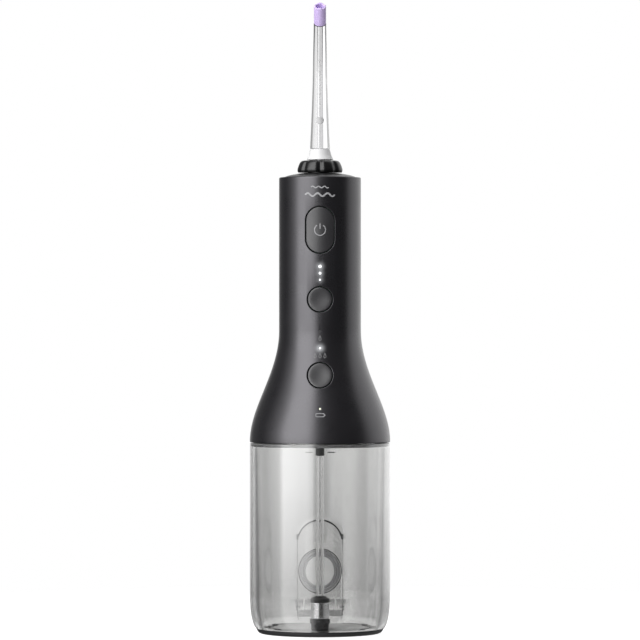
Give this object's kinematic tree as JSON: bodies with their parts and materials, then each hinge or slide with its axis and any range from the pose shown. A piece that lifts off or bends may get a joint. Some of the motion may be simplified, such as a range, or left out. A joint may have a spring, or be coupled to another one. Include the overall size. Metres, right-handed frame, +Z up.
{
  "type": "water flosser",
  "caption": "Cordless water flosser: round black handle with front buttons and a bent spray nozzle, on a clear smoke-tinted reservoir with a rear fill door.",
  "frame": {"origin": "centre of the foot, on the floor", "axes": "+Z up along the handle's axis, -Y towards the buttons, +X to the viewer's right when facing the buttons"},
  "size_m": [0.0668, 0.0668, 0.2992],
  "materials": {
    "satin_black": "fine satin moulded texture",
    "gloss_black": "glossy",
    "inner_black": "moulded",
    "smoke_clear": "clear smoke-tinted plastic, polished",
    "clear": "clear plastic, polished",
    "white": "moulded",
    "lavender": "soft matt",
    "silicone": "matt",
    "seal_rubber": "matt",
    "steel": "turned",
    "grey_plastic": "moulded",
    "gear_plastic": "moulded",
    "board_green": "lacquered",
    "cell_wrap": "shrink film",
    "light_guide": "polished",
    "hose": "translucent tube"
  },
  "bodies": {
    "reservoir": {"reservoir_tank": "smoke_clear", "foot_ring": "seal_rubber"},
    "door": {"fill_door": "smoke_clear", "door_seal": "silicone"},
    "handle": {"handle_shell": "satin_black", "top_cap": "satin_black", "lower_deck": "inner_black", "deck_seal": "seal_rubber", "suction_fitting": "inner_black", "circuit_board": "board_green", "power_switch": "grey_plastic", "intensity_switch": "grey_plastic", "mode_switch": "grey_plastic", "intensity_light_guide": "light_guide", "mode_light_guide": "light_guide", "battery_light_guide": "light_guide", "battery_cell": "cell_wrap", "motor": "steel", "chassis": "grey_plastic", "gearbox_frame": "grey_plastic", "gear_axle": "steel", "pump_cylinder": "grey_plastic", "pump_head": "grey_plastic", "inlet_valve": "steel", "outlet_valve": "steel", "inlet_hose": "hose", "delivery_hose": "hose", "nozzle_seat": "grey_plastic", "knob_seal": "seal_rubber", "charging_socket": "grey_plastic", "deck_screw_1": "steel", "deck_screw_2": "steel", "deck_screw_3": "steel", "motor_screw_1": "steel", "motor_screw_2": "steel", "release_spring": "steel"},
    "knob": {"nozzle_knob": "gloss_black"},
    "nozzle": {"nozzle_shaft": "clear", "nozzle_tip": "lavender", "nozzle_collar": "white", "nozzle_o_ring": "seal_rubber"},
    "power": {"power_button": "satin_black"},
    "intensity": {"intensity_button": "satin_black"},
    "mode": {"mode_button": "satin_black"},
    "release": {"release_button": "satin_black", "release_latch": "steel"},
    "port_cover": {"charging_port_cover": "inner_black"},
    "crank": {"crank_gear": "gear_plastic"},
    "motor_rotor": {"motor_shaft": "steel", "motor_pinion": "steel"},
    "piston": {"piston": "gear_plastic", "piston_seal": "seal_rubber", "wrist_pin": "steel"},
    "con_rod": {"connecting_rod": "gear_plastic"},
    "pickup": {"suction_tube": "hose", "pickup_flange": "inner_black", "pickup_weight": "steel", "pickup_filter": "inner_black"}
  },
  "joints": [
    {"name": "handle_lift", "type": "slide", "parent": "reservoir", "child": "handle", "axis": [0, 0, 1], "range_m": [0, 0.095]},
    {"name": "door_open", "type": "hinge", "parent": "reservoir", "child": "door", "pos_m": [0, 0.0288, 0.0098], "axis": [-1, 0, 0], "range_deg": [0, 90]},
    {"name": "nozzle_turn", "type": "hinge", "parent": "handle", "child": "knob", "pos_m": [0, 0, 0.2171], "axis": [0, 0, 1], "continuous": true},
    {"name": "nozzle_pull", "type": "slide", "parent": "knob", "child": "nozzle", "axis": [0, 0, 1], "range_m": [0, 0.03]},
    {"name": "power_press", "type": "slide", "parent": "handle", "child": "power", "axis": [0, 1, 0], "range_m": [0, 0.0006]},
    {"name": "intensity_press", "type": "slide", "parent": "handle", "child": "intensity", "axis": [0, 1, 0], "range_m": [0, 0.0006]},
    {"name": "mode_press", "type": "slide", "parent": "handle", "child": "mode", "axis": [0, 1, 0], "range_m": [0, 0.0006]},
    {"name": "release_press", "type": "slide", "parent": "handle", "child": "release", "axis": [0, -1, 0], "range_m": [0, 0.0015], "deforming": ["release_spring"]},
    {"name": "port_cover_open", "type": "hinge", "parent": "handle", "child": "port_cover", "pos_m": [0, 0.0186, 0.1376], "axis": [-1, 0, 0], "range_deg": [0, 90]},
    {"name": "pickup_swing", "type": "hinge", "parent": "handle", "child": "pickup", "pos_m": [0, 0, 0.084], "axis": [1, 0, 0], "range_deg": [-12, 12]},
    {"name": "crank_spin", "type": "hinge", "parent": "handle", "child": "crank", "pos_m": [-0.0107, 0, 0.102], "axis": [0, 0, 1], "continuous": true},
    {"name": "motor_spin", "type": "hinge", "parent": "handle", "child": "motor_rotor", "pos_m": [0, 0.0035, 0.102], "axis": [0, 0, 1], "continuous": true},
    {"name": "piston_stroke", "type": "slide", "parent": "handle", "child": "piston", "axis": [1, 0, 0], "range_m": [-0.006, 0]},
    {"name": "rod_swing", "type": "hinge", "parent": "piston", "child": "con_rod", "pos_m": [0.0083, 0, 0.0968], "axis": [0, 0, 1], "range_deg": [-10.8, 10.8]}
  ],
  "couplings": [
    {"joint": "motor_spin", "follows": "crank_spin", "ratio": -4}
  ]
}
